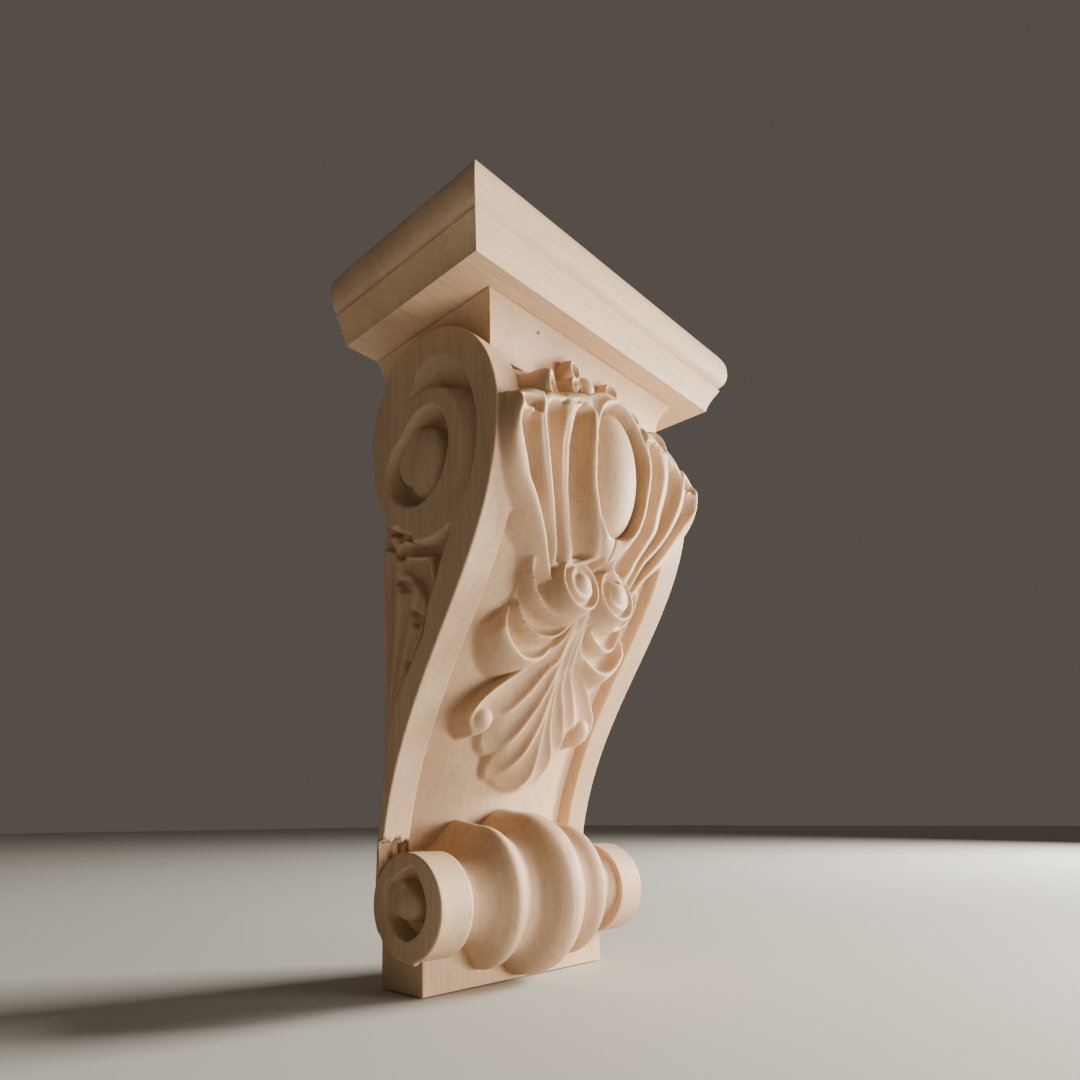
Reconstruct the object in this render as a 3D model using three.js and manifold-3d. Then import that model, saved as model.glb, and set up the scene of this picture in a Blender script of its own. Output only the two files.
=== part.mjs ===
// A carved wooden corbel: a scrolled bracket for a wall, under a moulded cap board.
// Millimetres, +Z up, the wall plane at Y = 0, the front toward -Y, and X = 0 the plane of symmetry.
// Heights below are measured from the underside of the base block; the finished group is lowered
// so that the origin lies on the back, at the middle of the fixing face.

import * as THREE from 'three';
import { mergeVertices } from 'three/addons/utils/BufferGeometryUtils.js';
import Module from 'manifold-3d';

const wasm = await Module();
wasm.setup();

// Overall sizes
const totalHeight = 348;
const fixingHeight = 174;
const glueLine = 0.3;

// Cap board: half width and depth at its lower edge, and how its moulding stands out
const capThickness = 38;
const capHalfWidth = 88;
const capDepth = 94;
const capCoveRise = 12.5;
const capCoveReach = 5.8;
const capStep = 0.9;
const capRoundReach = 9.1;
const capRoundHeight = 11.5;

// How far the cap's lower edge overhangs the neck, the trunk's sides and the front of the upper volutes
const neckOverhang = 18;
const sideOverhang = 24.5;
const voluteOverhang = 4.5;

// Neck under the cap, flared by a cove at its top
const neckHeight = 24;
const neckFlare = 6.4;
const neckCoveDrop = 18;

// Base block
const baseDepth = 31;
const baseHeight = 32;

// Scrolled cheeks, standing proud of the trunk's sides: the upper volute hangs from a little below the
// cap, and its front, its back and its foot lie this far below its top
const cheekProud = 9;
const cheekStrip = 16;
const voluteGap = 4;
const upperFrontDrop = 53;
const upperBackDrop = 44;
const upperFootDrop = 100;
const upperTopDepth = 39;
const upperFootDepth = 46;
const waistDepth = 12.5;
const waistHeight = 72;
const swellPull = 64.5;
const waistPull = 78;
const waistLean = 13.8;

// The back edge of the band under the upper volute
const bandFootDepth = 6;
const bandHeelDepth = 53;
const bandHeelDrop = 38;
const bandCalfDepth = 9;
const bandCalfRise = 58;

// Lower volute and the ringed bolster between the two lower volutes
const lowerDepth = 30;
const lowerHeight = 41;
const lowerRadius = 24.5;
const lowerInset = 54;
const bolsterDepth = 31.5;
const bolsterHeight = 42.6;
const bolsterRadius = 41.2;
const bolsterBack = 5;

// Front panel between the cheeks
const panelRecess = 7.5;
const panelCrown = 11;

// How deep the front ornament's hollows go
const leafHollow = 6;
const cupHollow = 3;
const fanHollow = 2.5;

// Egg and scrolls
const eggHalfWidth = 17;
const eggHalfHeight = 31.5;
const eggBed = 3.5;
const eggRise = 9.5;
const scrollRadius = 10.6;
const scrollRoll = 2.2;
const scrollStand = 15;
const scrollEye = 8.2;

// Leaf on each side
const sideRelief = 6.5;
const sideHollow = 4.5;

// Depths of the sunk work in the volutes' faces
const grooveDepth = 4.5;
const hollowDepth = 6.5;
const bossSunk = 1.5;

const soffit = totalHeight - capThickness;
const neckDepth = capDepth - neckOverhang;
const trunkHalfWidth = capHalfWidth - sideOverhang;
const cheekHalfWidth = trunkHalfWidth + cheekProud;
const panelHalfWidth = cheekHalfWidth - cheekStrip;
const upperFrontDepth = capDepth - voluteOverhang;
const upperTopHeight = soffit - voluteGap;
const upperFrontHeight = upperTopHeight - upperFrontDrop;
const upperBackHeight = upperTopHeight - upperBackDrop;
const upperFootHeight = upperTopHeight - upperFootDrop;

// The carving's places are those of a pattern for a panel 56.4 wide to each side, with its waist at 72
// and the volutes furthest forward at 253. They are fitted to the panel that the sizes above give.
const fitAcross = panelHalfWidth / 56.4;
const fitUp = (upperFrontHeight - waistHeight) / (253 - 72);
const fitHeight = (height) => waistHeight + (height - 72) * fitUp;

// The volutes' eyes: their places and half sizes, and the bosses in them
const upperEye = { depth: 36, height: fitHeight(248), halfDepth: 20.5, halfHeight: 22 };
const lowerEye = { depth: 29, height: lowerHeight + 2, halfDepth: 14.5, halfHeight: 16 };
const upperBoss = { forward: 1, up: -2, halfDepth: 12.5, halfHeight: 17 };
const lowerBoss = { forward: -3.5, up: -1, halfDepth: 9.5, halfHeight: 8.5 };

// A closed triangle mesh made a solid, its shared corners merged and its faces turned outward
function solid(geometry) {
  geometry.deleteAttribute('normal');
  geometry.deleteAttribute('uv');
  const merged = mergeVertices(geometry, 1e-3);
  const points = Float32Array.from(merged.attributes.position.array);
  const corners = [];
  const index = merged.index.array;
  for (let i = 0; i < index.length; i += 3) {
    const [a, b, c] = [index[i], index[i + 1], index[i + 2]];
    if (a !== b && b !== c && c !== a) corners.push(a, b, c);
  }
  if (signedVolume(points, corners) < 0) {
    for (let i = 0; i < corners.length; i += 3) {
      [corners[i + 1], corners[i + 2]] = [corners[i + 2], corners[i + 1]];
    }
  }
  const mesh = new wasm.Mesh({ numProp: 3, vertProperties: points, triVerts: Uint32Array.from(corners) });
  return new wasm.Manifold(mesh);
}

function signedVolume(points, corners) {
  const corner = (i) => new THREE.Vector3().fromArray(points, 3 * corners[i]);
  let total = 0;
  for (let i = 0; i < corners.length; i += 3) {
    total += corner(i).dot(corner(i + 1).cross(corner(i + 2)));
  }
  return total / 6;
}

// Moves every corner of a ready-made closed geometry to the place that a function gives
function reshape(geometry, place) {
  const position = geometry.attributes.position;
  const from = new THREE.Vector3();
  for (let i = 0; i < position.count; i += 1) {
    from.fromBufferAttribute(position, i);
    position.setXYZ(i, ...place(from));
  }
  return solid(geometry);
}

function unite(solids) {
  return solids.reduce((whole, next) => whole.add(next));
}

function bothSides(make) {
  return unite([-1, 1].map(make));
}

// A prism along X from an outline drawn as depth (negative toward the front) and height
function prismAcross(outline, fromX, toX) {
  const geometry = new THREE.ExtrudeGeometry(outline, {
    depth: Math.abs(toX - fromX), bevelEnabled: false, curveSegments: 12,
  });
  const turn = new THREE.Matrix4().makeBasis(
    new THREE.Vector3(0, 1, 0), new THREE.Vector3(0, 0, 1), new THREE.Vector3(1, 0, 0),
  );
  geometry.applyMatrix4(turn);
  geometry.translate(Math.min(fromX, toX), 0, 0);
  return solid(geometry);
}

// A prism along Y from an outline drawn as width and height
function prismForward(outline, depth) {
  const geometry = new THREE.ExtrudeGeometry(outline, { depth, bevelEnabled: false, curveSegments: 12 });
  geometry.rotateX(Math.PI / 2);
  return solid(geometry);
}

// A block moulded alike on its front and two sides, mitred at the corners and flat at the back.
// The profile lists [reach, height] from the bottom to the top.
function mouldedBlock(profile, halfWidth, depth) {
  const reach = Math.max(...profile.map((point) => point.x));
  const section = new THREE.Shape([
    new THREE.Vector2(0, profile[0].y),
    ...profile.map((point) => new THREE.Vector2(-depth - point.x, point.y)),
    new THREE.Vector2(0, profile[profile.length - 1].y),
  ]);
  const front = new THREE.Shape([
    ...profile.map((point) => new THREE.Vector2(halfWidth + point.x, point.y)),
    ...profile.map((point) => new THREE.Vector2(-halfWidth - point.x, point.y)).reverse(),
  ]);
  const along = prismAcross(section, -halfWidth - reach, halfWidth + reach);
  return along.intersect(prismForward(front, depth + reach));
}

function makeCap() {
  const bottom = soffit + glueLine;
  const profile = new THREE.Path();
  profile.moveTo(0, bottom);
  profile.quadraticCurveTo(capCoveReach * 0.35, soffit + capCoveRise * 0.75, capCoveReach, soffit + capCoveRise);
  profile.lineTo(capCoveReach - capStep, soffit + capCoveRise + capStep);
  profile.quadraticCurveTo(
    capRoundReach, soffit + capCoveRise + 4, capRoundReach, totalHeight - capRoundHeight,
  );
  profile.quadraticCurveTo(capRoundReach, totalHeight - 4, 0, totalHeight);
  return mouldedBlock(profile.getPoints(5), capHalfWidth, capDepth);
}

function makeNeck() {
  const profile = new THREE.Path();
  profile.moveTo(0, soffit - neckHeight);
  profile.lineTo(0, soffit - neckCoveDrop);
  profile.quadraticCurveTo(neckFlare * 0.1, soffit - neckCoveDrop * 0.3, neckFlare, soffit);
  return mouldedBlock(profile.getPoints(6), trunkHalfWidth, neckDepth);
}

// The front edge of a cheek, from the waist up the S to the front of the upper volute
const frontEdge = new THREE.CubicBezierCurve(
  new THREE.Vector2(-waistDepth, waistHeight),
  new THREE.Vector2(-waistDepth - waistLean, waistHeight + waistPull),
  new THREE.Vector2(-upperFrontDepth, upperFrontHeight - swellPull),
  new THREE.Vector2(-upperFrontDepth, upperFrontHeight),
);

// Draws the front edge and then the top of the upper volute back to the wall
function drawFrontAndTop(shape) {
  shape.bezierCurveTo(
    frontEdge.v1.x, frontEdge.v1.y, frontEdge.v2.x, frontEdge.v2.y, frontEdge.v3.x, frontEdge.v3.y,
  );
  shape.absellipse(
    -upperTopDepth, upperFrontHeight, upperFrontDepth - upperTopDepth, upperTopHeight - upperFrontHeight,
    Math.PI, Math.PI / 2, true,
  );
  shape.absellipse(
    -upperTopDepth, upperBackHeight, upperTopDepth, upperTopHeight - upperBackHeight, Math.PI / 2, 0, true,
  );
}

// The depth of the cheeks' front edge at a height
const edgePoints = [
  new THREE.Vector2(-waistDepth, 0),
  ...frontEdge.getPoints(60),
  ...new THREE.EllipseCurve(
    -upperTopDepth, upperFrontHeight, upperFrontDepth - upperTopDepth, upperTopHeight - upperFrontHeight,
    Math.PI, Math.PI / 2, true,
  ).getPoints(30),
];

function frontDepth(height) {
  const i = Math.max(1, edgePoints.findIndex((point) => point.y > height));
  const [a, b] = [edgePoints[i - 1], edgePoints[i]];
  return THREE.MathUtils.mapLinear(height, a.y, b.y, a.x, b.x);
}

// The panel between the cheeks: sunk at its edges and crowned along its middle
function panelDepth(x, height) {
  const across = Math.min(1, Math.abs(x) / panelHalfWidth);
  return frontDepth(height) + panelRecess - panelCrown * (1 - across * across);
}

// The inner part of a cheek, as deep as its front edge all the way back to the wall
function makeCheekCore(side) {
  const outline = new THREE.Shape();
  outline.moveTo(-waistDepth, 0);
  outline.lineTo(-waistDepth, waistHeight);
  drawFrontAndTop(outline);
  outline.lineTo(0, 0);
  return prismAcross(outline, side * panelHalfWidth, side * trunkHalfWidth);
}

// The proud face of a cheek: the upper volute, the band of the S and its run down behind the lower volute
function makeBand(side) {
  const outline = new THREE.Shape();
  outline.moveTo(-waistDepth, lowerHeight);
  outline.lineTo(-waistDepth, waistHeight);
  drawFrontAndTop(outline);
  outline.absellipse(
    -upperFootDepth, upperBackHeight, upperFootDepth, upperBackHeight - upperFootHeight, 0, -Math.PI / 2, true,
  );
  outline.bezierCurveTo(
    -bandHeelDepth, upperFootHeight - bandHeelDrop, -bandCalfDepth, waistHeight + bandCalfRise,
    -bandFootDepth, waistHeight,
  );
  outline.lineTo(-bandFootDepth, lowerHeight);
  return prismAcross(outline, side * (trunkHalfWidth - 1), side * cheekHalfWidth);
}

function makeLowerVolute(side) {
  const outline = new THREE.Shape();
  outline.absellipse(-lowerDepth, lowerHeight, lowerRadius, lowerRadius, 0, 2 * Math.PI, false);
  return prismAcross(outline, side * lowerInset, side * cheekHalfWidth);
}

// The sunk work in a cheek's outer face: the volutes' hollows, the groove around the upper coil,
// and the cut that parts the lower coil from the band behind it
function makeSunkWork(side) {
  const hollow = (eye) => new THREE.Shape().absellipse(
    -eye.depth, eye.height, eye.halfDepth, eye.halfHeight, 0, 2 * Math.PI, false,
  );
  const groove = new THREE.Shape();
  const at = (forward, up) => [-upperEye.depth - forward * fitAcross, upperEye.height + up * fitUp];
  groove.moveTo(...at(-8, 29));
  groove.bezierCurveTo(...at(2, 52), ...at(32, 48), ...at(40, 8));
  groove.bezierCurveTo(...at(42, -4), ...at(38, -20), ...at(30, -34));
  groove.bezierCurveTo(...at(30, -16), ...at(32, -8), ...at(29, 6));
  groove.bezierCurveTo(...at(22, 36), ...at(4, 34), ...at(-8, 29));
  const cut = new THREE.Shape();
  const near = (forward, up) => [-lowerEye.depth - forward, lowerEye.height + up];
  cut.moveTo(...near(-15.5, 27));
  cut.lineTo(...near(7, 26.5));
  cut.quadraticCurveTo(...near(-7, 19), ...near(-12, 7));
  cut.lineTo(...near(-16, 7));
  const outer = side * (cheekHalfWidth + 1);
  const sunk = (outline, depth) => prismAcross(outline, side * (cheekHalfWidth - depth), outer);
  return unite([
    sunk(hollow(upperEye), hollowDepth), sunk(hollow(lowerEye), hollowDepth),
    sunk(groove, grooveDepth), sunk(cut, grooveDepth),
  ]);
}

// The rounded bosses that the two coils end in
function makeBosses(side) {
  const boss = (eye, { forward, up, halfDepth, halfHeight }) => reshape(
    new THREE.SphereGeometry(1, 12, 7),
    (p) => [
      side * (cheekHalfWidth - hollowDepth + (hollowDepth - bossSunk) * p.x),
      -eye.depth - forward + halfDepth * p.y, eye.height + up + halfHeight * p.z,
    ],
  );
  return boss(upperEye, upperBoss).add(boss(lowerEye, lowerBoss));
}

// The bolster's radius at a distance from the middle: a big ring, a smaller one and a cove
const bolsterRadii = new THREE.SplineCurve([
  [-3, 41], [0, 41.2], [7, 40.2], [14, 35.5], [19.5, 28.5], [22, 27.2], [25.5, 28.6], [30, 30], [34, 28.6],
  [40, 23.5], [47, 20.3], [54, 21.5], [57, 22.5],
].map(([x, r]) => new THREE.Vector2(x * lowerInset / 54, r * bolsterRadius / 41.2))).getPoints(60);

function radiusAt(x) {
  const i = bolsterRadii.findIndex((point) => point.x > Math.abs(x));
  const [a, b] = [bolsterRadii[i - 1], bolsterRadii[i]];
  return THREE.MathUtils.mapLinear(Math.abs(x), a.x, b.x, a.y, b.y);
}

// The bolster is round at the front, and its rings run straight back into the panel
function makeBolster() {
  const halfLength = lowerInset + 1;
  return reshape(new THREE.CylinderGeometry(1, 1, 2 * halfLength, 20, 26), (p) => {
    const radius = radiusAt(p.y);
    if (p.z >= -1e-6) return [p.y, -bolsterDepth - radius * p.z, bolsterHeight + radius * p.x];
    const flat = THREE.MathUtils.clamp(p.x * 1.7, -1, 1);
    const rise = Math.max(0, flat) * 2.5 * -p.z;
    return [p.y, -bolsterDepth - (bolsterDepth - bolsterBack) * p.z, bolsterHeight + radius * flat + rise];
  });
}

function makePanel() {
  const [low, high] = [lowerHeight - 20, soffit - neckHeight + 4];
  return reshape(new THREE.BoxGeometry(2, 2, 2, 8, 22, 1), (p) => {
    const x = p.x * (panelHalfWidth + 1);
    const height = THREE.MathUtils.mapLinear(p.y, -1, 1, low, high);
    return [x, p.z > 0 ? panelDepth(x, height) : 0, height];
  });
}

function makeBase() {
  const geometry = new THREE.BoxGeometry(2 * trunkHalfWidth, baseDepth, baseHeight);
  geometry.translate(0, -baseDepth / 2, baseHeight / 2);
  return solid(geometry);
}

// A ridge of the carving, given as width, height and how far it stands before the cheeks' front edge
function ridge(points) {
  return new THREE.CatmullRomCurve3(
    points.map(([x, height, stand]) => new THREE.Vector3(x * fitAcross, fitHeight(height), stand)),
  );
}

// A place inside the panel, behind the carving
function ground(x, height) {
  return panelDepth(Math.min(Math.abs(x), panelHalfWidth), height) + 3;
}

// A lobe between two ridges that run from its root to its tip. Its face is hollowed between the ridges,
// its tip is drawn out by a scallop, and its walls go straight back into the ground.
function lobe(side, one, other, { hollow, scallop = 0, across = 3, along = 6 }) {
  const ahead = one.getTangent(1).add(other.getTangent(1)).setZ(0).normalize();
  return reshape(new THREE.BoxGeometry(1, 1, 1, across, along, 1), (p) => {
    const [u, v] = [p.x + 0.5, p.y + 0.5];
    const point = one.getPoint(v).lerp(other.getPoint(v), u);
    point.addScaledVector(ahead, scallop * 4 * u * (1 - u) * v ** 4);
    const dip = hollow * 4 * u * (1 - u) * Math.sin(Math.PI * (0.12 + 0.76 * v));
    const face = frontDepth(point.y) - point.z + dip;
    return [side * point.x, p.z > 0 ? face : ground(point.x, point.y), point.y];
  });
}

// A rounded swelling that rises from a bed, with its back buried in the ground
function dome(x, height, halfWidth, halfHeight, bedDepth, rise, rings = 6, sectors = 10) {
  return reshape(new THREE.SphereGeometry(1, sectors, rings), (p) => {
    const [px, pz] = [x + p.x * halfWidth, height + p.z * halfHeight];
    return [px, p.y < -1e-6 ? bedDepth + rise * p.y : ground(px, pz), pz];
  });
}

// The leaf around the egg: its blades' ridges from the outermost inward, and its crown, which rolls back
// from the blades' tips to the neck
const leafRidges = [
  ridge([[29, 190, 9], [36.7, 201.2, 7.4], [48.8, 214.7, 7.3], [59.5, 227.1, 6], [66.6, 240.4, 7.6],
    [67, 248, 9], [64.5, 255.7, 10.5]]),
  ridge([[29, 196, 7.7], [34.9, 211.4, 6.6], [45.1, 226.5, 8.5], [52.1, 242.7, 9.3], [53.9, 251.9, 9.6],
    [52.5, 260, 9.4]]),
  ridge([[21, 196, 9.2], [27.5, 209.6, 7.8], [35.4, 226.2, 8], [38.2, 245.2, 8.2], [37.3, 254.5, 10.3],
    [26, 269.5, 13]]),
  ridge([[4, 203, 12], [13.8, 218.5, 14.5], [19.5, 238.3, 12], [20.1, 252.5, 12.3], [21, 270, 13.2]]),
];
const crownFront = ridge([[65, 255, 10.3], [52, 260, 9.5], [36.5, 264.5, 11], [18.7, 267.6, 13], [12, 271, 13.5],
  [-0.4, 277.6, 15.2]]);
const crownBack = ridge([[67.5, 259, -0.2], [60, 265, 1.8], [48, 270, 3.2], [22, 277, 9.8], [8, 281, 12],
  [-0.4, 283, 12.3]]);

// The rims of the three cupped lobes and, inward of each, the line where its bowl meets the one above
const cupRims = [
  ridge([[40, 198, 4.7], [38.5, 188.6, 9.7], [34.8, 182.1, 12.5], [28.9, 177.2, 15.3], [21.8, 174.3, 18],
    [14, 174.5, 18.9], [7, 177.5, 17.5]]),
  ridge([[38.5, 181, 5.4], [35, 171.5, 11.1], [30.7, 167, 13.9], [25.3, 165, 16.5], [18, 165.5, 17.6],
    [6, 174, 13.7]]),
  ridge([[43.3, 174, 5.7], [43, 168, 9], [39.5, 161.5, 12.7], [33.3, 156.3, 15.8], [27, 154.8, 17],
    [19, 157, 15.6], [4, 170, 8.3]]),
];
const cupRoots = [
  ridge([[35, 200, 3], [27.5, 190, 7.7], [23, 180.5, 16.5], [14, 176.8, 21.5], [8, 178.5, 20.5]]),
  ridge([[39.5, 195.7, -2.4], [38, 188.6, 1.2], [28.5, 177.2, 6.8], [21.8, 174.8, 9.5], [7, 177.9, 9]]),
  ridge([[38.2, 176.7, 0.7], [34.5, 172, 3.6], [25.3, 165.5, 9], [18, 166, 10.1], [6, 174.5, 6.2]]),
];

// The fan's ridges, from the outermost to the one in the middle, which fall over the petals' tips
const fanRidges = [
  ridge([[7, 168, 8.5], [16.5, 156.5, 10.9], [29.2, 147.6, 9.9], [42.3, 135.2, 9.7], [44.4, 128.5, 9.9]]),
  ridge([[3.5, 166, 9.8], [8.4, 153, 12.6], [21.2, 135.1, 13.9], [27.9, 129.2, 8.5], [30.5, 126.5, 3.4]]),
  ridge([[1.3, 165, 9.5], [3.6, 147.8, 14.1], [15.4, 124.1, 17.2], [20.2, 115.5, 10.3], [22, 112, 5.3]]),
  ridge([[0.5, 160, 9.7], [3.6, 127.4, 17.4], [8.4, 115.8, 18.9], [13.3, 106.3, 14.7], [17, 100, 5.1]]),
  ridge([[-0.4, 158, 9.9], [-0.4, 136, 15.8], [-0.4, 110, 19.7], [-0.4, 103, 19], [-0.4, 94.5, 7.9]]),
];
const fanScallops = [5, 4, 4, 1.5];

// Small round swellings: their places and half sizes, how far their beds stand before the cheeks' edge
// or the neck, and their rise
const fanBud = { x: 37.2, height: 128.8, halfWidth: 8, halfHeight: 8.4, bed: 10, rise: 6 };
const stem = { x: 0, height: 178, halfWidth: 6, halfHeight: 16, bed: 4, rise: 12 };
const crownBuds = [
  { x: 43, height: 275, halfWidth: 8.5, halfHeight: 10, bed: 10, rise: 12.5 },
  { x: 32.5, height: 285, halfWidth: 8, halfHeight: 8.5, bed: 4, rise: 12 },
  { x: 14, height: 287, halfWidth: 9, halfHeight: 6, bed: 4, rise: 10 },
  { x: 21.5, height: 297, halfWidth: 5.5, halfHeight: 6, bed: 1, rise: 7 },
  { x: 0, height: 296, halfWidth: 6, halfHeight: 5, bed: 0, rise: 6 },
];

function makeSwelling(side, { x, height, halfWidth, halfHeight, bed, rise }, plane) {
  const up = fitHeight(height);
  const bedDepth = (plane ?? frontDepth(up)) - bed;
  return dome(side * x * fitAcross, up, halfWidth * fitAcross, halfHeight * fitUp, bedDepth, rise);
}

function makeLeafSide(side) {
  const blades = [0, 1, 2].map((i) => lobe(side, leafRidges[i], leafRidges[i + 1], { hollow: leafHollow }));
  const crown = lobe(side, crownFront, crownBack, { hollow: -2, along: 8 });
  const cups = cupRims.map((rim, i) => lobe(side, rim, cupRoots[i], { hollow: cupHollow }));
  const fan = fanScallops.map((scallop, i) => lobe(side, fanRidges[i], fanRidges[i + 1], {
    hollow: fanHollow, scallop,
  }));
  const buds = crownBuds.filter((bud) => side > 0 || bud.x > 0);
  return unite([
    ...blades, crown, ...cups, ...fan, makeSwelling(side, fanBud),
    ...buds.map((bud) => makeSwelling(side, bud, -neckDepth)),
  ]);
}

// A scroll under the egg: a raised ring around a round eye
function makeScroll(side) {
  const [x, height] = [side * 13.6 * fitAcross, fitHeight(189.6)];
  const depth = frontDepth(height) - scrollStand;
  const eye = dome(x, height, scrollEye, scrollEye, depth + 3, 7);
  const ring = reshape(new THREE.TorusGeometry(scrollRadius, scrollRoll, 6, 16), (p) => {
    const reach = Math.hypot(p.x, p.y);
    const behind = p.z < -1e-6;
    const wall = behind ? (scrollRadius + Math.sign(reach - scrollRadius) * scrollRoll) / reach : 1;
    const [px, pz] = [x + p.x * wall, height + p.y * wall];
    return [px, behind ? ground(px, pz) : depth - p.z, pz];
  });
  return eye.add(ring);
}

// The egg's frame: its crest, the inner edge of its band, and its pointed foot
const frameCrest = ridge([[-0.4, 277.5, 15.2], [12.2, 270.9, 13.3], [18, 260.8, 12.8], [20.1, 250, 12.3],
  [19.5, 238.3, 12.2], [13.8, 218.5, 14.7], [5, 212.3, 15], [-0.4, 211.7, 14.6]]);
const frameInside = ridge([[-0.4, 274.4, 9.8], [10.2, 268.3, 8.2], [14.9, 259.3, 6.9], [16.8, 249, 6.5],
  [16.6, 238.3, 7.2], [11.3, 220.6, 9.4], [4, 215, 10.2], [-0.4, 214.4, 10.1]]);
const frameFoot = ridge([[-0.4, 199.7, 13.2], [5, 205, 13.4], [9, 211, 14.3], [14, 219.5, 14.4]]);
const frameHeel = ridge([[-0.4, 213, 14.6], [5, 213.5, 15], [9.5, 216, 15.2], [13.2, 220.5, 14.4]]);

function makeEgg() {
  const height = fitHeight(244);
  const bedDepth = frontDepth(height) - eggBed;
  const egg = dome(0, height, eggHalfWidth * fitAcross, eggHalfHeight * fitUp, bedDepth, eggRise, 8, 16);
  const half = (side) => lobe(side, frameCrest, frameInside, { hollow: 0, across: 1, along: 12 }).add(
    lobe(side, frameFoot, frameHeel, { hollow: -1, across: 2, along: 3 }),
  );
  return egg.add(bothSides(half)).add(makeSwelling(1, stem));
}

// The leaf carved in the sunk field on a side, its ridges given as depth and height
const sideRidges = [
  [[8, 118], [19, 139], [30, 156], [39, 172], [45, 188], [43, 202]],
  [[7, 118], [15, 141], [23, 160], [29, 178], [31, 192], [29, 204]],
  [[6, 118], [10.2, 143], [14.6, 165], [17, 184], [16, 200], [13, 212]],
  [[4, 118], [3, 145], [2.5, 165], [2, 185], [1.5, 205]],
].map((points) => new THREE.SplineCurve(
  points.map(([depth, height]) => new THREE.Vector2(depth * fitAcross, fitHeight(height))),
));

function makeSideLeaf(side) {
  const blades = [0, 1, 2].map((i) => reshape(new THREE.BoxGeometry(1, 1, 1, 3, 6, 1), (p) => {
    const [u, v] = [p.x + 0.5, p.y + 0.5];
    const point = sideRidges[i].getPoint(v).lerp(sideRidges[i + 1].getPoint(v), u);
    const nearWall = THREE.MathUtils.smoothstep(point.x, 0, 12);
    const stand = sideRelief * nearWall - sideHollow * nearWall * 4 * u * (1 - u) * Math.sin(Math.PI * v);
    return [side * (trunkHalfWidth + (p.z > 0 ? stand : -3)), -point.x, point.y];
  }));
  return unite(blades);
}

function makeBody() {
  const carcass = unite([
    makeNeck(), makePanel(), makeBase(), makeBolster(),
    bothSides(makeCheekCore), bothSides(makeBand), bothSides(makeLowerVolute),
  ]);
  const sunk = carcass.subtract(bothSides(makeSunkWork));
  return unite([
    sunk, bothSides(makeBosses), bothSides(makeSideLeaf),
    bothSides(makeLeafSide), bothSides(makeScroll), makeEgg(),
  ]);
}

const wood = new THREE.MeshStandardMaterial({ color: 0xd9bb96, roughness: 0.68, metalness: 0 });
const capWood = new THREE.MeshStandardMaterial({ color: 0xdcc09c, roughness: 0.66, metalness: 0 });

function named(name, shape, material) {
  const mesh = shape.getMesh();
  const geometry = new THREE.BufferGeometry();
  geometry.setAttribute('position', new THREE.BufferAttribute(Float32Array.from(mesh.vertProperties), 3));
  geometry.setIndex(new THREE.BufferAttribute(Uint32Array.from(mesh.triVerts), 1));
  geometry.computeVertexNormals();
  const piece = new THREE.Mesh(geometry, material);
  piece.name = name;
  return piece;
}

const corbel = new THREE.Group();
corbel.add(named('cap', makeCap(), capWood), named('body', makeBody(), wood));
corbel.position.z = -fixingHeight;

export default corbel;
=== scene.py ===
"""A carved wooden corbel: a scrolled bracket under a moulded cap, seen from below at its left corner."""
import math

import bmesh
import bpy
import numpy as np
from mathutils import Matrix, Vector


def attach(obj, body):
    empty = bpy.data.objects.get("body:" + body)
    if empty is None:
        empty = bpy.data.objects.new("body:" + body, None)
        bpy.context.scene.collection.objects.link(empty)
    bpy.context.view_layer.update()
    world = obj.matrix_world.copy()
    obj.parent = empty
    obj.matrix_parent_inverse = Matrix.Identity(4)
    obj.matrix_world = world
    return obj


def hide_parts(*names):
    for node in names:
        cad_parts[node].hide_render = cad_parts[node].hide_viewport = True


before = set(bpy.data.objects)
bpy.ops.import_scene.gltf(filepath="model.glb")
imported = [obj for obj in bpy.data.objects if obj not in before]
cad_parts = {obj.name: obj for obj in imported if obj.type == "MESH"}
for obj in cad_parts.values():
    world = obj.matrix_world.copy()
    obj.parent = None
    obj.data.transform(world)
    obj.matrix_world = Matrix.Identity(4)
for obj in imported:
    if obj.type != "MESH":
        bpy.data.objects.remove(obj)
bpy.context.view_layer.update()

# Camera: close below the left front corner, turned 47 degrees toward the right and tilted up 5 degrees.
# The picture's optical axis lies low in the frame, so the lens is shifted up.
lens_pixels = 784.2
picture_pixels = 1080
axis_row = 749.1
sensor_width = 36
eye = (-0.29025, -0.31642, -0.09347)
yaw, pitch, roll = math.radians(46.92), math.radians(5.0), math.radians(-0.43)
ahead = Vector((math.sin(yaw) * math.cos(pitch), math.cos(yaw) * math.cos(pitch), math.sin(pitch)))
level = Vector((math.cos(yaw), -math.sin(yaw), 0))
upward = level.cross(ahead)
right = level * math.cos(roll) + upward * math.sin(roll)
up = upward * math.cos(roll) - level * math.sin(roll)
camera = bpy.data.objects.new("camera", bpy.data.cameras.new("camera"))
bpy.context.collection.objects.link(camera)
camera.data.sensor_width = sensor_width
camera.data.lens = lens_pixels / picture_pixels * sensor_width
camera.data.shift_y = (axis_row - picture_pixels / 2) / picture_pixels
camera.data.clip_start, camera.data.clip_end = 0.01, 50
camera.matrix_world = Matrix.Translation(eye) @ Matrix((right, up, -ahead)).transposed().to_4x4()
bpy.context.scene.camera = camera

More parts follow.
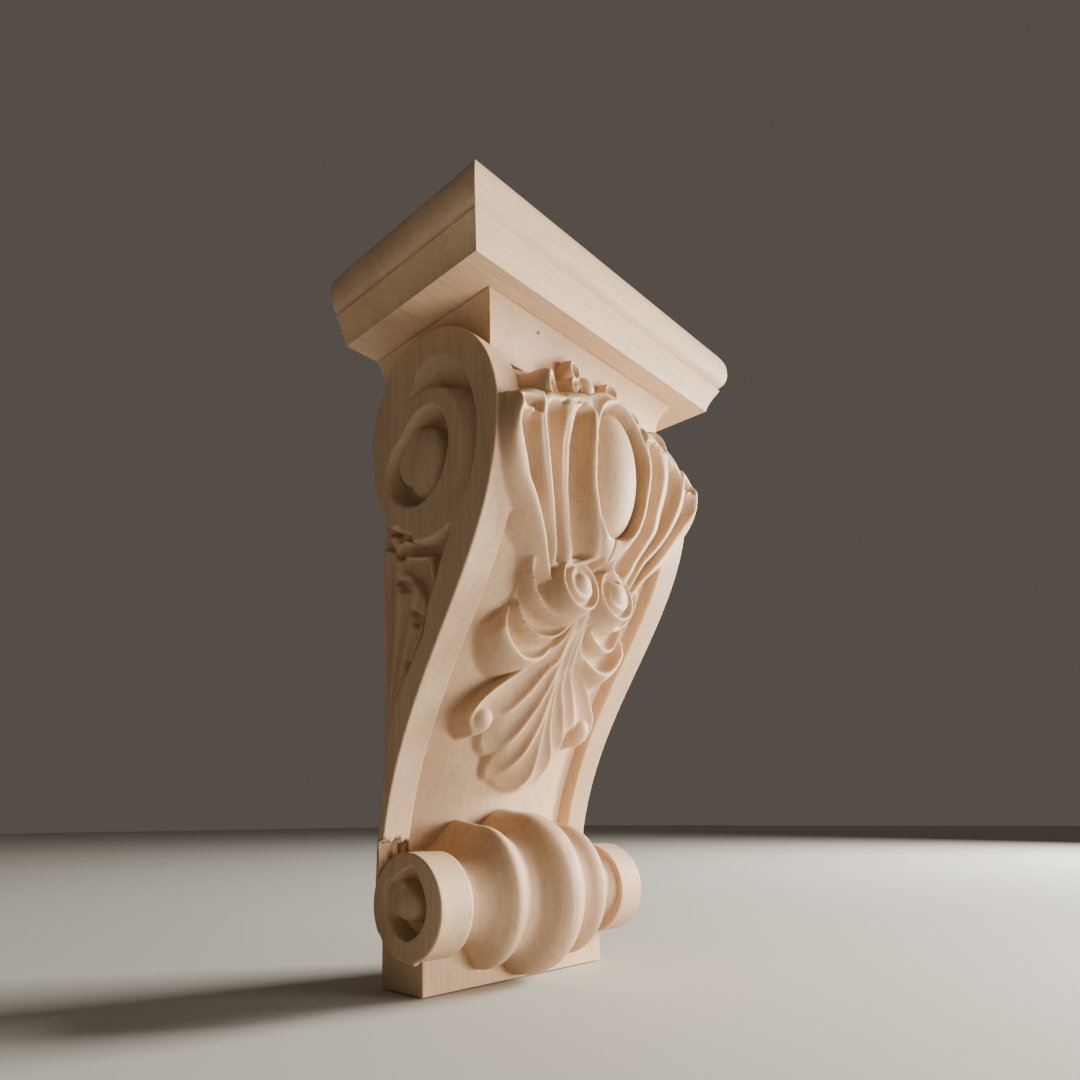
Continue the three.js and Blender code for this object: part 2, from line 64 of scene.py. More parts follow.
# Studio: a pale floor half a millimetre under the part, a pale surround, a large soft key from the front
# right and a low warm bounce.
floor_mesh = bpy.data.meshes.new("floor")
shape = bmesh.new()
bmesh.ops.create_grid(shape, x_segments=1, y_segments=1, size=6)
shape.to_mesh(floor_mesh)
shape.free()
floor = bpy.data.objects.new("floor", floor_mesh)
floor.location = (0, 0, -0.1745)
bpy.context.collection.objects.link(floor)
floor_paint = bpy.data.materials.new("pale floor")
floor_paint.use_nodes = True
floor_paint.node_tree.nodes["Principled BSDF"].inputs["Base Color"].default_value = (0.55, 0.53, 0.50, 1)
floor_paint.node_tree.nodes["Principled BSDF"].inputs["Roughness"].default_value = 0.9
floor_mesh.materials.append(floor_paint)

world = bpy.data.worlds.new("surround")
world.use_nodes = True
world.node_tree.nodes["Background"].inputs["Color"].default_value = (0.92, 0.80, 0.68, 1)
world.node_tree.nodes["Background"].inputs["Strength"].default_value = 0.105
bpy.context.scene.world = world


def soft_light(name, place, target, size, watts, colour):
    lamp = bpy.data.objects.new(name, bpy.data.lights.new(name, "AREA"))
    lamp.data.size = size
    lamp.data.energy = watts
    lamp.data.color = colour
    lamp.location = place
    lamp.rotation_mode = "QUATERNION"
    lamp.rotation_quaternion = (Vector(target) - Vector(place)).to_track_quat("-Z", "Y")
    bpy.context.collection.objects.link(lamp)


soft_light("key", (1.78, -0.84, 0.52), (0, 0, 0), 0.7, 142, (1.0, 0.955, 0.85))
soft_light("bounce", (0.22, -0.5, -0.2), (0, -0.05, -0.13), 0.25, 7.4, (1.0, 0.91, 0.79))


# Base block and flat back: the foot of the carved body and the plain face that lies against the wall.
# Both are the body's own pale hardwood with its grain upright, sawn and planed square, arrises just eased.
half_height = 174.0


def metres(x, depth, height):
    """A place in millimetres: width, depth in front of the wall, height above the base block's underside."""
    return np.stack([x, -depth, height - half_height], axis=-1) / 1000.0


# Bare hardwood with fine open pores. The pores are long threads along the grain, so they show as streaks on
# long grain and as specks where the carving cuts across it. Convex crests are painted paler as a painted
# highlight, and hollows and creases are painted darker as painted shade.
def wood_group():
    group = bpy.data.node_groups.new("pale hardwood", "ShaderNodeTree")
    for name in ("Base Color", "Roughness"):
        kind = "NodeSocketColor" if name == "Base Color" else "NodeSocketFloat"
        group.interface.new_socket(name, in_out="OUTPUT", socket_type=kind)
    group.interface.new_socket("Height", in_out="OUTPUT", socket_type="NodeSocketFloat")
    group.interface.new_socket("Along", in_out="INPUT", socket_type="NodeSocketVector")
    nodes, links = group.nodes, group.links
    inputs, outputs = nodes.new("NodeGroupInput"), nodes.new("NodeGroupOutput")

    def noise(scale, detail, rough):
        node = nodes.new("ShaderNodeTexNoise")
        node.inputs["Scale"].default_value = scale
        node.inputs["Detail"].default_value = detail
        node.inputs["Roughness"].default_value = rough
        links.new(inputs.outputs["Along"], node.inputs["Vector"])
        return node.outputs["Fac"]

    def ramp(source, stops):
        node = nodes.new("ShaderNodeValToRGB")
        links.new(source, node.inputs["Fac"])
        node.color_ramp.elements[0].position, node.color_ramp.elements[0].color = stops[0]
        node.color_ramp.elements[1].position, node.color_ramp.elements[1].color = stops[-1]
        for place, colour in stops[1:-1]:
            node.color_ramp.elements.new(place).color = colour
        return node.outputs["Color"]

    def mixed(kind, factor, one, other):
        node = nodes.new("ShaderNodeMix")
        node.data_type, node.blend_type = "RGBA", kind
        node.inputs["Factor"].default_value = factor
        links.new(one, node.inputs["A"])
        links.new(other, node.inputs["B"])
        return node.outputs["Result"]

    def grey(value):
        return (value, value, value, 1)

    broad = ramp(noise(28, 3, 0.5), [(0.3, (0.53, 0.345, 0.205, 1)), (0.72, (0.66, 0.465, 0.30, 1))])
    streaks = ramp(noise(330, 3, 0.6), [(0.3, grey(0.84)), (0.62, grey(1.0))])
    pores = ramp(noise(1500, 2, 0.5), [(0.3, grey(0.72)), (0.44, grey(1.0))])
    colour = mixed("MULTIPLY", 0.75, mixed("MULTIPLY", 0.7, broad, streaks), pores)
    geometry = nodes.new("ShaderNodeNewGeometry")
    # Painted light from pointiness: convex crests get a painted highlight, hollows and creases get painted
    # shade.
    crest = ramp(geometry.outputs["Pointiness"], [(0.42, grey(0.80)), (0.5, grey(1.0)), (0.58, grey(1.16))])
    colour = mixed("MULTIPLY", 0.8, colour, crest)
    links.new(colour, outputs.inputs["Base Color"])
    rough = nodes.new("ShaderNodeMapRange")
    links.new(pores, rough.inputs["Value"])
    rough.inputs["To Min"].default_value, rough.inputs["To Max"].default_value = 0.8, 0.62
    links.new(rough.outputs["Result"], outputs.inputs["Roughness"])
    links.new(mixed("MULTIPLY", 0.8, streaks, pores), outputs.inputs["Height"])
    return group


wood_nodes = wood_group()


def wood_material(name, stretch, knots=()):
    """Wood with its grain along the axis that is stretched least, with pin knots at (place, radius)."""
    material = bpy.data.materials.new(name)
    material.use_nodes = True
    nodes, links = material.node_tree.nodes, material.node_tree.links
    place = nodes.new("ShaderNodeTexCoord")
    scale = nodes.new("ShaderNodeMapping")
    scale.inputs["Scale"].default_value = stretch
    links.new(place.outputs["Object"], scale.inputs["Vector"])
    grain = nodes.new("ShaderNodeGroup")
    grain.node_tree = wood_nodes
    links.new(scale.outputs["Vector"], grain.inputs["Along"])
    shader = nodes["Principled BSDF"]
    colour = grain.outputs["Base Color"]
    for where, radius in knots:
        reach = nodes.new("ShaderNodeVectorMath")
        reach.operation = "DISTANCE"
        links.new(place.outputs["Object"], reach.inputs[0])
        reach.inputs[1].default_value = metres(*where)
        edge = nodes.new("ShaderNodeMapRange")
        edge.inputs["From Min"].default_value = 0.5 * radius / 1000
        edge.inputs["From Max"].default_value = radius / 1000
        links.new(reach.outputs["Value"], edge.inputs["Value"])
        mark = nodes.new("ShaderNodeMix")
        mark.data_type = "RGBA"
        mark.inputs["A"].default_value = (0.07, 0.035, 0.015, 1)
        links.new(edge.outputs["Result"], mark.inputs["Factor"])
        links.new(colour, mark.inputs["B"])
        colour = mark.outputs["Result"]
    links.new(colour, shader.inputs["Base Color"])
    links.new(grain.outputs["Roughness"], shader.inputs["Roughness"])
    bump = nodes.new("ShaderNodeBump")
    bump.inputs["Strength"].default_value = 0.25
    bump.inputs["Distance"].default_value = 0.0002
    links.new(grain.outputs["Height"], bump.inputs["Height"])
    links.new(bump.outputs["Normal"], shader.inputs["Normal"])
    return material


pin_knots = [((13, 65, 56.4), 1.0), ((12, 62.5, 21.2), 0.9), ((-36, 79.3, 306), 1.1)]
upright_wood = wood_material("upright grain wood", (1.0, 1.0, 0.045), pin_knots)


def fitted(piece, node, wood):
    piece.data.materials.append(wood)
    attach(piece, "root")
    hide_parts(node)


def block(name, low, high, ease_width):
    shape = bmesh.new()
    bmesh.ops.create_cube(shape, size=1)
    centre, span = [(a + b) / 2 for a, b in zip(low, high)], [b - a for a, b in zip(low, high)]
    for corner in shape.verts:
        x, depth, height = (c + k * s for c, k, s in zip(centre, corner.co, span))
        corner.co = metres(x, depth, height)
    bmesh.ops.recalc_face_normals(shape, faces=shape.faces)
    bmesh.ops.bevel(
        shape, geom=shape.edges, offset=ease_width / 1000, segments=2, profile=0.5, affect="EDGES",
        material=-1,
    )
    bmesh.ops.recalc_face_normals(shape, faces=shape.faces)
    mesh = bpy.data.meshes.new(name)
    shape.to_mesh(mesh)
    shape.free()
    piece = bpy.data.objects.new(name, mesh)
    bpy.context.collection.objects.link(piece)
    return piece


base = block("base_block", (-63.5, 0.04, 0), (63.5, 31, 34), 0.6)
fitted(base, "body", upright_wood)
core = block("body_back", (-63.3, 0.04, 33), (63.3, 4.5, 287), 0.3)
fitted(core, "body", upright_wood)


# Carved front, cut with gouges in the body's own wood: a crowned panel sunk between the cheeks' edge strips,
# with a leaf around an egg, two small scrolls, three cupped lobes on each side of them and a fan of petals
# below. The carving is worked on one half and mirrored, as the carver's pattern was.
strip_half, cheek_half, arris = 56.4, 72.4, 0.8
panel_crown, panel_sunk = 11, -7.5


def line(points, count):
    """A smooth line through the points, at evenly spaced places along it."""
    p = np.array(points, float)
    p = np.vstack([2 * p[0] - p[1], p, 2 * p[-1] - p[-2]])
    t = np.linspace(0, len(p) - 3, 40 * (len(p) - 3) + 1)
    k = np.minimum(t.astype(int), len(p) - 4)
    f = (t - k)[:, None]
    a, b, c, d = p[k], p[k + 1], p[k + 2], p[k + 3]
    dense = 0.5 * (
        2 * b + (c - a) * f + (2 * a - 5 * b + 4 * c - d) * f**2 + (3 * b - a - 3 * c + d) * f**3
    )
    length = np.concatenate([[0], np.cumsum(np.linalg.norm(np.diff(dense, axis=0), axis=1))])
    even = np.linspace(0, length[-1], count)
    return np.stack([np.interp(even, length, dense[:, i]) for i in range(dense.shape[1])], axis=1)


def ease(t):
    t = np.clip(t, 0, 1)
    return t * t * (3 - 2 * t)


def cubic(a, b, c, d, count):
    t = np.linspace(0, 1, count)[:, None]
    a, b, c, d = (np.array(p, float) for p in (a, b, c, d))
    return (1 - t) ** 3 * a + 3 * t * (1 - t) ** 2 * b + 3 * t**2 * (1 - t) * c + t**3 * d


def arc(centre, half, start, end, count):
    t = np.radians(np.linspace(start, end, count))[:, None]
    return np.array(centre) + np.hstack([half[0] * np.cos(t), half[1] * np.sin(t)])


# The cheeks' outline, which every carved face of the body follows: up the S from the lower volute,
# over the big volute and down its back to the wall
rise_line = np.vstack([
    [[12.5, 36.0], [12.5, 40.0]],
    cubic((12.5, 72), (26.34, 150.13), (89.5, 188.45), (89.5, 253), 200),
    arc((39, 253), (50.5, 53), 0, 90, 120)[1:],
])
whole_line = np.vstack([rise_line, arc((39, 262), (39, 44), 90, 180, 80)[1:]])


def front_of(height):
    return np.interp(height, rise_line[:, 1], rise_line[:, 0])


def offset(outline, inward):
    way = np.gradient(outline, axis=0)
    way /= np.linalg.norm(way, axis=1)[:, None]
    return outline + inward * np.stack([-way[:, 1], way[:, 0]], axis=1)


def spaced(outline, share):
    """Places along an outline at the given shares of its length."""
    length = np.concatenate([[0], np.cumsum(np.linalg.norm(np.diff(outline, axis=0), axis=1))])
    return [np.interp(share * length[-1], length, outline[:, i]) for i in (0, 1)]


class Relief:
    """A carved face seen square on: the height of the wood over a flat plane, worked piece by piece."""

    def __init__(self, low, high, cell):
        self.low, self.cell = low, cell
        ticks = [low[i] + cell * np.arange(int((high[i] - low[i]) / cell) + 1) for i in (0, 1)]
        self.a, self.b = np.meshgrid(*ticks, indexing="ij")
        self.wood = np.zeros_like(self.a)

    def put(self, a, b, wood, keep=np.maximum):
        i = np.rint((a - self.low[0]) / self.cell).astype(int)
        j = np.rint((b - self.low[1]) / self.cell).astype(int)
        on = (i >= 0) & (j >= 0) & (i < self.wood.shape[0]) & (j < self.wood.shape[1])
        keep.at(self.wood, (i[on], j[on]), wood[on])

    def patch(self, one, other, work, keep=np.maximum, scallop=0.0):
        """Works the ground between two lines of (a, b, wood), with work(u, v, width) added to it."""
        span = max(np.ptp(np.array(one), axis=0)[:2].max(), np.ptp(np.array(other), axis=0)[:2].max())
        steps_a_cell, winding = 2.6, 1.6
        along = int(steps_a_cell * winding * span / self.cell) + 8
        one, other = line(one, along), line(other, along)
        width = np.hypot(*(other - one)[:, :2].T)
        across = int(steps_a_cell * width.max() / self.cell) + 8
        u = np.linspace(0, 1, across)[:, None]
        v = np.linspace(0, 1, along)[None, :]
        a, b, wood = ((1 - u) * one[:, i] + u * other[:, i] for i in (0, 1, 2))
        if scallop:
            tip = (one[-1] - one[-along // 6]) + (other[-1] - other[-along // 6])
            tip = tip[:2] / np.linalg.norm(tip[:2])
            push = scallop * 4 * u * (1 - u) * v**4
            a, b = a + tip[0] * push, b + tip[1] * push
        self.put(a, b, wood + work(u, v, width), keep)

    def dome(self, centre, half, base, rise, lean=0.0, keep=np.maximum, fullness=0.5):
        """A swelling, round or with a flatter top; with a negative rise and minimum kept, a hollow."""
        a, b = self.a - centre[0], self.b - centre[1]
        p = (a * math.cos(lean) + b * math.sin(lean)) / half[0]
        q = (b * math.cos(lean) - a * math.sin(lean)) / half[1]
        r = p * p + q * q
        wood = base + rise * np.clip(1 - r, 0, 1) ** fullness
        self.wood = np.where(r < 1, keep(self.wood, wood), self.wood)

    def soften(self, radius):
        """Sands the face, so that every edge is rounded to about this radius."""
        reach = int(3 * radius / self.cell) + 1
        kernel = np.exp(-0.5 * (np.arange(-reach, reach + 1) * self.cell / radius) ** 2)
        kernel /= kernel.sum()
        for axis in (0, 1):
            padded = np.pad(self.wood, [(reach, reach) if i == axis else (0, 0) for i in (0, 1)], "edge")
            count = self.wood.shape[axis]
            self.wood = sum(
                k * np.take(padded, np.arange(n, n + count), axis=axis) for n, k in enumerate(kernel)
            )

    def at(self, a, b):
        i = np.clip((a - self.low[0]) / self.cell, 0, self.wood.shape[0] - 1.001)
        j = np.clip((b - self.low[1]) / self.cell, 0, self.wood.shape[1] - 1.001)
        m, n = i.astype(int), j.astype(int)
        s, t = i - m, j - n
        w = self.wood
        return (
            w[m, n] * (1 - s) * (1 - t) + w[m + 1, n] * s * (1 - t) + w[m, n + 1] * (1 - s) * t
            + w[m + 1, n + 1] * s * t
        )


front = Relief((-3, 10), (76, 312), 0.25)
across = np.clip(np.abs(front.a) / strip_half, 0, 1)
panel = panel_sunk + panel_crown * (1 - across**2)
front.wood = np.where(np.abs(front.a) < strip_half, panel, 0.0) + front_of(front.b)


def fluted(gouge, deepest, start=0.08, end=0.1, flat=0.14):
    """A hollow run with a gouge between two crests: it deepens from the root and ends round at the tip."""
    def work(u, v, width):
        bowl = np.sin(math.pi * np.clip((u - flat) / (1 - 2 * flat), 0, 1)) ** 0.65
        round_end = np.sqrt(np.clip(1 - (np.maximum(0, v - (1 - end)) / end) ** 2, 0, 1))
        return -np.minimum(gouge * width, deepest) * bowl * ease(v / start) * round_end
    return work


def swollen(rise):
    return lambda u, v, width: rise * 4 * u * (1 - u) + 0 * v


def bed(points, sunk=0.4):
    """Gives places (x, height) their depth on the strip or the panel under the carving."""
    placed = []
    for x, height in points:
        crowned = panel_sunk + panel_crown - panel_crown * (x / strip_half) ** 2
        placed.append((x, height, front_of(height) + (0 if abs(x) > strip_half else crowned) - sunk))
    return placed


# Leaf blades beside the egg: three crests on each side, standing higher toward their tips
outer_blade = [(29, 190, 79), (36.7, 201.2, 83.4), (42.6, 208, 86.8), (48.8, 214.7, 89.3),
               (54.4, 221.1, 91), (60, 227.1, 92), (65, 233.6, 94.2), (67.8, 240.4, 96.5),
               (68.4, 247, 98.6), (67.4, 252.5, 100)]
middle_blade = [(29, 196, 81), (31.2, 203.5, 84.5), (34.9, 211.4, 87.3), (40.3, 218.7, 91.3),
                (45.1, 226.5, 94.4), (49, 234.8, 96.7), (52.1, 242.7, 98.3), (54, 251.5, 99.2)]
middle_end = [(53.2, 257, 99.4), (50, 261.2, 99.2)]
inner_blade = [(21, 196, 82.5), (24.1, 202.7, 86.1), (27.5, 209.6, 87.7), (31.6, 218.2, 91.1),
               (35.4, 226.2, 93.8), (36.9, 235.8, 95.4), (38.2, 245.2, 97.4), (37.6, 254.5, 99.6)]
frame_side = [(4, 203, 89), (9, 211, 95), (13.8, 218.5, 98.1), (16.5, 225.1, 99.3), (18.4, 231.3, 99.8),
              (19.5, 238.3, 100.6), (20.1, 245.3, 101.4), (20.1, 252.5, 102), (19.4, 260, 101.4),
              (19, 265.5, 100.8), (21.5, 267.5, 100.4)]
leaf_foot = bed([(35, 186), (42, 196), (49, 205), (59.4, 217.5), (66.6, 227.3), (70.2, 238.5),
                 (70.6, 246.9), (68, 256.7)])
front.patch(outer_blade, leaf_foot, lambda u, v, width: 0.8 * np.sin(math.pi * u) + 0 * v)
front.patch(outer_blade, middle_blade, fluted(0.62, 7.5, end=0.06))
front.patch(middle_blade + middle_end, inner_blade + [(37.4, 260, 99.8), (38, 263.5, 99.8)],
            fluted(0.62, 7.5, end=0.06))
front.patch(inner_blade + [(35.4, 261, 100), (31.5, 265.5, 100.2), (28.7, 267.3, 100.3)], frame_side,
            fluted(0.62, 9.5, end=0.08))


def crest(blade, narrow, wide):
    """The rounded land left along a blade between two gouge cuts; it broadens toward the tip."""
    widths = np.interp(np.linspace(0, 1, len(blade)), [0, 0.8, 1], [narrow, wide, 0.8])
    inner = [(x - width, height, depth) for (x, height, depth), width in zip(blade, widths)]
    front.patch(blade, inner, swollen(0.5))


crest(outer_blade[:-1], 1.4, 7.0)
crest(middle_blade + middle_end[:1], 1.2, 2.6)
crest(inner_blade, 1.5, 3.4)
front.patch([(38.6, 250, 98.4), (38.2, 256, 99.6), (38.2, 260, 99.9), (38.8, 264, 99.9)],
            [(37.8, 250, 98.5), (36.9, 256, 99.7), (34.8, 261.5, 100.1), (30.5, 266.6, 100.3)],
            swollen(0.4))

# Egg, the moat around it and its drop-shaped frame
oval = [(-3, 279.3, 98.9), (0, 279.3, 98.9), (6.5, 277, 99.3), (12.8, 271.5, 99.9), (18.2, 261.5, 101.4),
        (20.1, 252.5, 102), (20.1, 245.3, 101.4), (19.5, 238.3, 100.6), (18.4, 231.3, 99.8),
        (16.5, 225.1, 99.3), (13.8, 218.5, 98.1), (9.5, 214.5, 97.2), (5, 212.3, 96), (0, 211.7, 95.4),
        (-3, 211.7, 95.4)]
moat = [(-3, 276.6, 91), (0, 276.5, 91), (5, 274.6, 91), (10.8, 269.6, 91.4), (15.9, 260, 91.6),
        (18, 252, 91.8), (18.3, 245, 91.8), (17.8, 238.3, 91.6), (16.7, 231.6, 91.2), (14.8, 226, 91),
        (12, 220.6, 90.5), (8, 216.6, 89.6), (4, 214.6, 89), (0, 214, 89), (-3, 214, 89)]
front.patch(oval, moat, lambda u, v, width: 1.4 * np.sin(math.pi * u) + 0 * v)
front.patch([(0, 199.7, 88), (5, 205, 91), (9, 211, 95), (13.8, 218.5, 98.1)],
            [(0, 211.7, 95.4), (5, 212.3, 96), (9.5, 214.5, 97.2), (13.8, 218.5, 98.1)], swollen(1.2))
front.dome((0, 244.6), (17.6, 31.4), 89.5, 13.2)


# Crown of the leaf: the flutes' tops close under an arch, whose top rolls back toward the neck
def hood(u, v, width):
    """A rolled rim over a flute's top, scooped out behind it."""
    scoop = ease((u - 0.04) / 0.14) * ease((0.66 - u) / 0.2) * ease((v - 0.1) / 0.25) * ease((1 - v) / 0.2)
    return 1.6 * np.sin(math.pi * u) - 5.5 * scoop


front.patch([(67.4, 252.5, 100), (63.5, 251.8, 99.6), (58.5, 252.4, 99.2), (54, 251.5, 99.2)],
            [(67.6, 258.5, 95), (64.5, 261, 95), (59, 262.8, 97), (53, 263.4, 98.8)], hood)
front.patch([(53.4, 256, 99.4), (50, 261, 99.2), (43, 262.8, 99.5), (36.5, 265, 99.9), (28.7, 267.6, 100.3),
             (21.5, 267.5, 100)],
            [(54, 263, 96), (49, 266, 94.5), (42, 269, 94), (34, 272, 94.5), (27, 274.5, 95),
             (21, 276, 95.5)],
            lambda u, v, width: 1.5 * np.sin(math.pi * u) + 0 * v)
front.patch([(19.9, 257, 101.8), (18.2, 261.5, 101.4), (12.8, 271.5, 99.9), (6.5, 277, 99.3),
             (0, 279.3, 98.9), (-3, 279.3, 98.9)],
            [(20.6, 260, 100), (21.8, 267, 99.6), (21, 274.5, 96.5), (14, 280, 95.4), (6, 283.6, 94.8),
             (0, 284.5, 94.6), (-3, 284.5, 94.6)],
            lambda u, v, width: -0.9 * np.sin(math.pi * u) + 0 * v)

# Curls on the crown: a large one over each middle blade, a ringed one beside it and small ones on the neck
front.dome((42, 271.5), (7.3, 12), 81, 15.5, lean=0.2, fullness=0.35)
front.dome((39.6, 274.5), (4.5, 8.2), 97, -9, lean=0.3, keep=np.minimum)
front.dome((22, 280.5), (5.6, 6), 84, 10, fullness=0.35)
front.dome((21.6, 281), (3.9, 4.3), 94, -5.5, keep=np.minimum, fullness=0.3)
front.dome((21.6, 281), (2, 2.2), 89, 2.6)
front.dome((14.5, 295), (6.2, 6.6), 76, 10)
front.dome((14, 295.5), (3.3, 3.9), 84.6, -5, keep=np.minimum)
front.dome((0, 293), (6, 7), 75, 7)

# Scrolls under the egg: a raised rim winding into a round eye
scroll = (13.6, 189.6)
scroll_radius, rim_inside = 12.3, 11.6
around = np.hypot(front.a - scroll[0], front.b - scroll[1])
rim = 86 - 0.16 * (front.b - scroll[1])
bearing = np.arctan2(front.b - scroll[1], front.a - scroll[0])
inner_edge = 6.4 + 2.2 * (((bearing - 1.2) / (2 * math.pi)) % 1)
gouged = np.clip((around - inner_edge) / (rim_inside - inner_edge), 0, 1)
winding = rim - 3.4 * np.sin(math.pi * gouged) ** 0.7
skirt = rim - 3.2 * np.maximum(0, around - scroll_radius)
in_skirt = (around >= scroll_radius) & (around < 17)
front.wood = np.where(around < scroll_radius, np.maximum(front.wood, winding), front.wood)
front.wood = np.where(in_skirt, np.maximum(front.wood, skirt), front.wood)
front.dome((scroll[0] - 0.5, scroll[1] - 0.3), (6.6, 6.9), 82, 6.8)
front.dome((0, 182), (4.5, 11), 66, 12)

# Cupped lobes: three on each side, each a bowl with a thin rim, one behind the other
cup_rims = [
    [(40, 198, 79), (39.9, 195.7, 79.2), (38.5, 188.6, 78.9), (34.8, 182.1, 77.8), (28.9, 177.2, 77.6),
     (21.8, 174.3, 78.5), (14, 174.5, 79.5), (7, 177.5, 80)],
    [(38.5, 181, 70), (37.8, 176.7, 70.2), (35, 171.5, 69.8), (30.7, 167, 69.7), (25.3, 165, 71),
     (18, 165.5, 72.5), (12, 168.5, 73), (6, 174, 74)],
    [(43.3, 174, 66), (43, 168, 65.5), (39.5, 161.5, 65), (33.3, 156.3, 64.8), (27, 154.8, 65),
     (19, 157, 65), (12, 162.5, 64.5), (4, 170, 66)],
]
behind = [
    [(35, 200, 78), (30, 196, 77), (27.5, 190, 77), (26.5, 185, 78), (23, 180.5, 80), (19, 177.5, 82),
     (14, 176.8, 83), (8, 178.5, 83)],
    [(x, height, depth - 8.5) for x, height, depth in cup_rims[0]],
    [(x, height, depth - 7.5) for x, height, depth in cup_rims[1]],
]
for rim_line, inner_line in zip(cup_rims, behind):
    front.patch(rim_line, inner_line, fluted(0.5, 5.5, start=0.2, end=0.3, flat=0.05))
front.patch(cup_rims[2], [(50, 168, 51), (48, 161, 47), (44, 154, 43), (39, 149.5, 41), (32, 148, 42),
                          (22, 152, 46), (14, 158, 52), (5, 166, 60)],
            lambda u, v, width: 5.5 * np.sin(math.pi * u) ** 0.9 * ease(v / 0.1) * ease((1 - v) / 0.4))

# Fan: crests fall over the petals' rounded tips, and the outermost one winds into a small round bud
fan_crests = [
    [(5, 176, 74), (7, 168, 69), (12, 161, 64), (16.5, 156.5, 60), (22, 152.9, 57.3), (29.2, 147.6, 53.5),
     (36.4, 141.7, 49.5), (42.3, 135.2, 46), (44.4, 128.5, 42.5), (42, 122.5, 40)],
    [(3.5, 176, 74), (4, 166, 68.5), (5, 158, 64), (8.4, 153, 59.5), (14.6, 143.6, 55.1),
     (21.2, 135.1, 50.1), (25, 131.3, 46.5), (27.9, 129.2, 41.5), (30.5, 126.5, 35)],
    [(2, 175.5, 74), (1.8, 165, 67), (3.6, 147.8, 57.8), (9.3, 135.4, 53.3), (15.4, 124.1, 47.5),
     (18.2, 119, 43), (20.2, 115.5, 36.5), (22, 112, 30)],
    [(1, 175, 73.5), (0.8, 160, 62.5), (1.5, 142, 55), (3.6, 127.4, 49.4), (8.4, 115.8, 45.3),
     (11, 110.5, 42), (13.3, 106.3, 37), (15.5, 102.5, 30), (17, 100, 25)],
    [(-0.5, 174, 73), (-0.5, 158, 61.5), (-0.5, 136, 52.5), (-0.5, 122, 47.5), (-0.5, 110, 43.5),
     (-0.5, 103, 40), (-0.5, 98, 34), (-0.5, 94.5, 26)],
]
for one, other, scallop in zip(fan_crests, fan_crests[1:], (5, 4, 4, 1.5)):
    front.patch(one, other, fluted(0.36, 4.6, start=0.02, end=0.3, flat=0.05), scallop=scallop)
front.dome((37.3, 128.8), (8.2, 8.6), 36, 7)
front.dome((36.2, 128.6), (6.2, 6.6), 39, 6.5)

front.wood -= front_of(front.b)
front.soften(0.32)


def sheet(name, columns, rows, place, outward):
    """A fine grid whose corners are moved onto the carved face; place(u, v) gives metres."""
    shape = bmesh.new()
    bmesh.ops.create_grid(shape, x_segments=columns, y_segments=rows, size=1)
    mesh = bpy.data.meshes.new(name)
    shape.to_mesh(mesh)
    shape.free()
    flat = np.empty(len(mesh.vertices) * 3)
    mesh.vertices.foreach_get("co", flat)
    uv = (flat.reshape(-1, 3)[:, :2] + 1) / 2
    mesh.vertices.foreach_set("co", place(uv[:, 0], uv[:, 1]).ravel())
    return finished(name, mesh, outward)


def finished(name, mesh, outward):
    """Merges doubled corners, turns the faces outward and links the piece."""
    shape = bmesh.new()
    shape.from_mesh(mesh)
    bmesh.ops.remove_doubles(shape, verts=shape.verts, dist=1e-6)
    bmesh.ops.dissolve_degenerate(shape, edges=shape.edges, dist=1e-7)
    shape.normal_update()
    facing = sum((f.normal * f.calc_area() for f in shape.faces), Vector())
    if facing.dot(Vector(outward)) < 0:
        bmesh.ops.reverse_faces(shape, faces=shape.faces)
    for face in shape.faces:
        face.smooth = True
    shape.to_mesh(mesh)
    shape.free()
    piece = bpy.data.objects.new(name, mesh)
    bpy.context.collection.objects.link(piece)
    return piece


# The skin over the carving. Its columns cross the face up to face_end, turn the arris up to turned and lap
# onto the cheek. The neck hides the outline's last 66 mm of 387, which stay plain. The left strip is torn off
# below torn_height.
face_end, turned, lap = 0.955, 0.98, 2.4
carved_share = 1 - 66.0 / 387.0
torn_height, torn_inside = 70.3, 56.8
foot_half, left_foot_top, right_foot_top = 60.0, 53.0, 57.6


def front_place(u, v):
    """Rows follow the cheeks' outline, finely over the ornament; columns cross it and turn both arrises."""
    share = np.interp(v, [0, 0.1, 0.91, 1], [0, 0.142, 0.87, 1])
    side = np.where(u < 0.5, -1.0, 1.0)
    t = np.abs(u - 0.5) * 2
    x = np.interp(t, [0, 0.93, face_end], [0, 69.5, cheek_half - arris])
    bend = np.radians(np.interp(t, [face_end, turned], [0, 90]))
    x = x + arris * np.sin(bend)
    drop = arris * (1 - np.cos(bend)) + np.interp(t, [turned, 1], [0, lap])
    rows = np.linspace(0, 1, 2400)
    base = np.stack(spaced(whole_line, rows), axis=1)
    normal = offset(base, 1.0) - base
    depth, height = (np.interp(share, rows, base[:, i]) for i in (0, 1))
    inward = [np.interp(share, rows, normal[:, i]) for i in (0, 1)]
    carved = front.at(np.minimum(x, 72.0), height) * (t < face_end)
    tear = torn_height + 0.9 * np.sin(0.9 * x) + 0.5 * np.sin(2.1 * x + 1) - 3.2 * ease((59.5 - x) / 4)
    torn = (side < 0) & (x > torn_inside) & (height < tear)
    carved = np.where(torn, -4.0 - 3.4 * ease((72 - x) / 4) + 0.45 * np.sin(3.1 * x), carved)
    drop = np.where(torn, 0, drop)
    carved = np.where(share < carved_share, carved, 0.0)
    foot_top = np.where(side < 0, left_foot_top, right_foot_top)
    x = np.where(height < foot_top, np.minimum(x, foot_half), x)
    return metres(side * x, depth + inward[0] * drop + carved, height + inward[1] * drop)


face = sheet("carved_front", 232, 420, front_place, (0, -1, 0))
fitted(face, "body", upright_wood)


